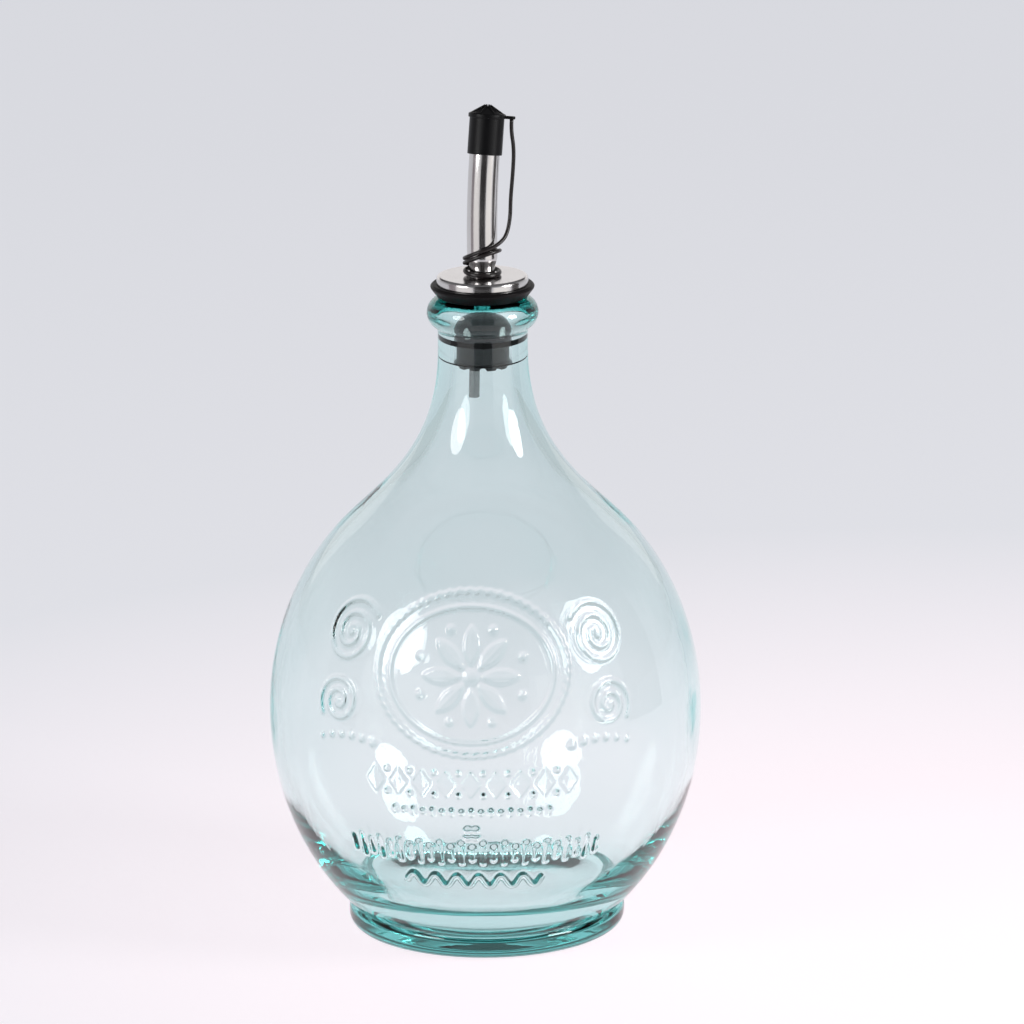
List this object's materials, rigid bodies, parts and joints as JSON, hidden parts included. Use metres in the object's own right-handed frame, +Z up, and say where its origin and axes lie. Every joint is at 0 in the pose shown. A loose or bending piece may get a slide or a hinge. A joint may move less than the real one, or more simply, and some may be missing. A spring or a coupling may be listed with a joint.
{
  "type": "glass oil bottle",
  "caption": "Round glass kitchen oil bottle with a foot ring, and a rubber-stoppered steel pouring spout with an air tube and a tethered dust cap.",
  "frame": {"origin": "centre of the foot, on the surface that the bottle stands on", "axes": "+Z up the bottle's axis; -Y is the front with the raised ornament; the spout leans towards +Y and a little to +X"},
  "size_m": [0.1442, 0.1449, 0.2793],
  "materials": {
    "glass": "clear pressed glass with a faint green-blue tint",
    "rubber": "matt black moulded rubber",
    "polished_steel": "polished stainless steel",
    "steel_tube": "drawn stainless steel tube",
    "cap_plastic": "satin black soft plastic",
    "tether_plastic": "dark brown-black soft plastic"
  },
  "bodies": {
    "bottle": {"glass_bottle": "glass"},
    "stopper": {"stopper": "rubber"},
    "spout": {"collar_disc": "polished_steel", "spout_tube": "polished_steel", "vent_tube": "steel_tube", "tether_ring": "tether_plastic", "cap_tether": "tether_plastic"},
    "cap": {"dust_cap": "cap_plastic"}
  },
  "joints": [
    {"name": "pourer_pull", "type": "slide", "parent": "bottle", "child": "stopper", "axis": [0, 0, 1], "range_m": [0, 0.05]},
    {"name": "spout_turn", "type": "hinge", "parent": "stopper", "child": "spout", "pos_m": [0, 0, 0.222], "axis": [0, 0, 1], "continuous": true},
    {"name": "cap_pull", "type": "slide", "parent": "spout", "child": "cap", "axis": [0.0741, 0.1665, 0.9833], "range_m": [0, 0.02], "deforming": ["cap_tether"]}
  ]
}
